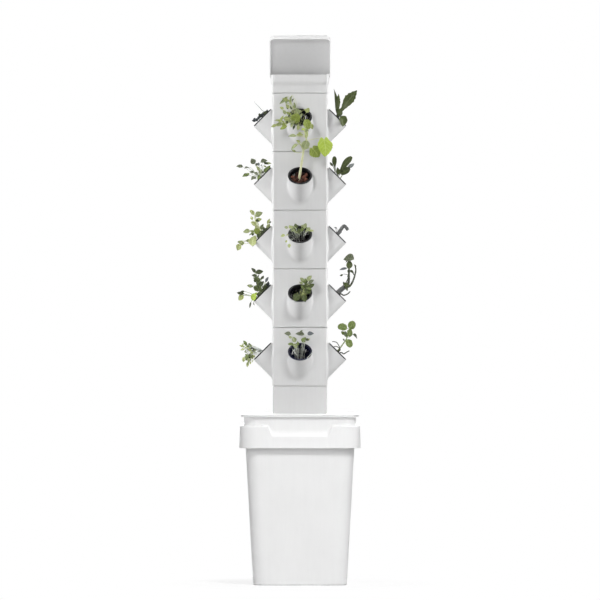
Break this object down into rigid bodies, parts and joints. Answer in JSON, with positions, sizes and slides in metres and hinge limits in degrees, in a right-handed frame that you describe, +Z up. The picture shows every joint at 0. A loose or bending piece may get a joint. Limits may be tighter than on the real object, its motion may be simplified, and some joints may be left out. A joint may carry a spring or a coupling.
{
  "type": "vertical planter tower",
  "caption": "Square column of stacked planter modules with tilted pots, net cups and plants, in a covered bucket whose pump feeds a tray under a hinged cap.",
  "frame": {"origin": "on the ground, under the middle of the bucket", "axes": "+Z up, -Y towards the front, +X to the right as seen from the front"},
  "size_m": [0.2819, 0.2944, 1.2384],
  "materials": {
    "tower_white": "satin moulded plastic",
    "bucket_white": "satin moulded plastic",
    "cup_black": "satin moulded plastic",
    "plant_green": "leaves, stems and baked clay pebbles",
    "hose_vinyl": "clear soft vinyl",
    "pump_black": "satin moulded plastic",
    "pump_grey": "moulded plastic",
    "pump_rubber": "matt rubber",
    "pin_steel": "ground"
  },
  "bodies": {
    "reservoir": {"reservoir_bucket": "bucket_white", "pump_casing": "pump_black", "pump_front_cover": "pump_black", "pump_shaft": "pin_steel", "pump_outlet": "pump_black", "pump_feet": "pump_rubber"},
    "reservoir_cover": {"reservoir_lid": "bucket_white"},
    "column": {"base_column": "tower_white", "planter_module_1": "tower_white", "planter_module_2": "tower_white", "planter_module_3": "tower_white", "planter_module_4": "tower_white", "planter_module_5": "tower_white", "distribution_tray": "tower_white", "shower_plate": "tower_white", "hinge_pin": "pin_steel", "riser_hose": "hose_vinyl"},
    "cap": {"top_lid": "tower_white"},
    "impeller": {"pump_impeller": "pump_grey"},
    "cup_front_1": {"net_cup_front_1": "cup_black", "plant_front_1": "plant_green"},
    "cup_front_2": {"net_cup_front_2": "cup_black", "plant_front_2": "plant_green"},
    "cup_front_3": {"net_cup_front_3": "cup_black", "plant_front_3": "plant_green"},
    "cup_front_4": {"net_cup_front_4": "cup_black", "plant_front_4": "plant_green"},
    "cup_front_5": {"net_cup_front_5": "cup_black", "plant_front_5": "plant_green"},
    "cup_right_1": {"net_cup_right_1": "cup_black", "plant_right_1": "plant_green"},
    "cup_right_2": {"net_cup_right_2": "cup_black", "plant_right_2": "plant_green"},
    "cup_right_3": {"net_cup_right_3": "cup_black", "plant_right_3": "plant_green"},
    "cup_right_4": {"net_cup_right_4": "cup_black", "plant_right_4": "plant_green"},
    "cup_right_5": {"net_cup_right_5": "cup_black", "plant_right_5": "plant_green"},
    "cup_back_1": {"net_cup_back_1": "cup_black", "plant_back_1": "plant_green"},
    "cup_back_2": {"net_cup_back_2": "cup_black", "plant_back_2": "plant_green"},
    "cup_back_3": {"net_cup_back_3": "cup_black", "plant_back_3": "plant_green"},
    "cup_back_4": {"net_cup_back_4": "cup_black", "plant_back_4": "plant_green"},
    "cup_back_5": {"net_cup_back_5": "cup_black", "plant_back_5": "plant_green"},
    "cup_left_1": {"net_cup_left_1": "cup_black", "plant_left_1": "plant_green"},
    "cup_left_2": {"net_cup_left_2": "cup_black", "plant_left_2": "plant_green"},
    "cup_left_3": {"net_cup_left_3": "cup_black", "plant_left_3": "plant_green"},
    "cup_left_4": {"net_cup_left_4": "cup_black", "plant_left_4": "plant_green"},
    "cup_left_5": {"net_cup_left_5": "cup_black", "plant_left_5": "plant_green"}
  },
  "joints": [
    {"name": "cover_lift", "type": "slide", "parent": "reservoir", "child": "reservoir_cover", "axis": [0, 0, 1], "range_m": [0, 0.06]},
    {"name": "column_lift", "type": "slide", "parent": "reservoir_cover", "child": "column", "axis": [0, 0, 1], "range_m": [0, 0.06]},
    {"name": "cap_hinge", "type": "hinge", "parent": "column", "child": "cap", "pos_m": [0, 0.071, 1.138], "axis": [-1, 0, 0], "range_deg": [-41, 60]},
    {"name": "impeller_spin", "type": "hinge", "parent": "reservoir", "child": "impeller", "pos_m": [0, 0.02, 0.0376], "axis": [0, 1, 0], "continuous": true},
    {"name": "cup_front_1_lift", "type": "slide", "parent": "column", "child": "cup_front_1", "axis": [0, -0.7071, 0.7071], "range_m": [0, 0.06]},
    {"name": "cup_front_2_lift", "type": "slide", "parent": "column", "child": "cup_front_2", "axis": [0, -0.7071, 0.7071], "range_m": [0, 0.06]},
    {"name": "cup_front_3_lift", "type": "slide", "parent": "column", "child": "cup_front_3", "axis": [0, -0.7071, 0.7071], "range_m": [0, 0.06]},
    {"name": "cup_front_4_lift", "type": "slide", "parent": "column", "child": "cup_front_4", "axis": [0, -0.7071, 0.7071], "range_m": [0, 0.06]},
    {"name": "cup_front_5_lift", "type": "slide", "parent": "column", "child": "cup_front_5", "axis": [0, -0.7071, 0.7071], "range_m": [0, 0.06]},
    {"name": "cup_right_1_lift", "type": "slide", "parent": "column", "child": "cup_right_1", "axis": [0.7071, 0, 0.7071], "range_m": [0, 0.06]},
    {"name": "cup_right_2_lift", "type": "slide", "parent": "column", "child": "cup_right_2", "axis": [0.7071, 0, 0.7071], "range_m": [0, 0.06]},
    {"name": "cup_right_3_lift", "type": "slide", "parent": "column", "child": "cup_right_3", "axis": [0.7071, 0, 0.7071], "range_m": [0, 0.06]},
    {"name": "cup_right_4_lift", "type": "slide", "parent": "column", "child": "cup_right_4", "axis": [0.7071, 0, 0.7071], "range_m": [0, 0.06]},
    {"name": "cup_right_5_lift", "type": "slide", "parent": "column", "child": "cup_right_5", "axis": [0.7071, 0, 0.7071], "range_m": [0, 0.06]},
    {"name": "cup_back_1_lift", "type": "slide", "parent": "column", "child": "cup_back_1", "axis": [0, 0.7071, 0.7071], "range_m": [0, 0.06]},
    {"name": "cup_back_2_lift", "type": "slide", "parent": "column", "child": "cup_back_2", "axis": [0, 0.7071, 0.7071], "range_m": [0, 0.06]},
    {"name": "cup_back_3_lift", "type": "slide", "parent": "column", "child": "cup_back_3", "axis": [0, 0.7071, 0.7071], "range_m": [0, 0.06]},
    {"name": "cup_back_4_lift", "type": "slide", "parent": "column", "child": "cup_back_4", "axis": [0, 0.7071, 0.7071], "range_m": [0, 0.06]},
    {"name": "cup_back_5_lift", "type": "slide", "parent": "column", "child": "cup_back_5", "axis": [0, 0.7071, 0.7071], "range_m": [0, 0.06]},
    {"name": "cup_left_1_lift", "type": "slide", "parent": "column", "child": "cup_left_1", "axis": [-0.7071, 0, 0.7071], "range_m": [0, 0.06]},
    {"name": "cup_left_2_lift", "type": "slide", "parent": "column", "child": "cup_left_2", "axis": [-0.7071, 0, 0.7071], "range_m": [0, 0.06]},
    {"name": "cup_left_3_lift", "type": "slide", "parent": "column", "child": "cup_left_3", "axis": [-0.7071, 0, 0.7071], "range_m": [0, 0.06]},
    {"name": "cup_left_4_lift", "type": "slide", "parent": "column", "child": "cup_left_4", "axis": [-0.7071, 0, 0.7071], "range_m": [0, 0.06]},
    {"name": "cup_left_5_lift", "type": "slide", "parent": "column", "child": "cup_left_5", "axis": [-0.7071, 0, 0.7071], "range_m": [0, 0.06]}
  ]
}
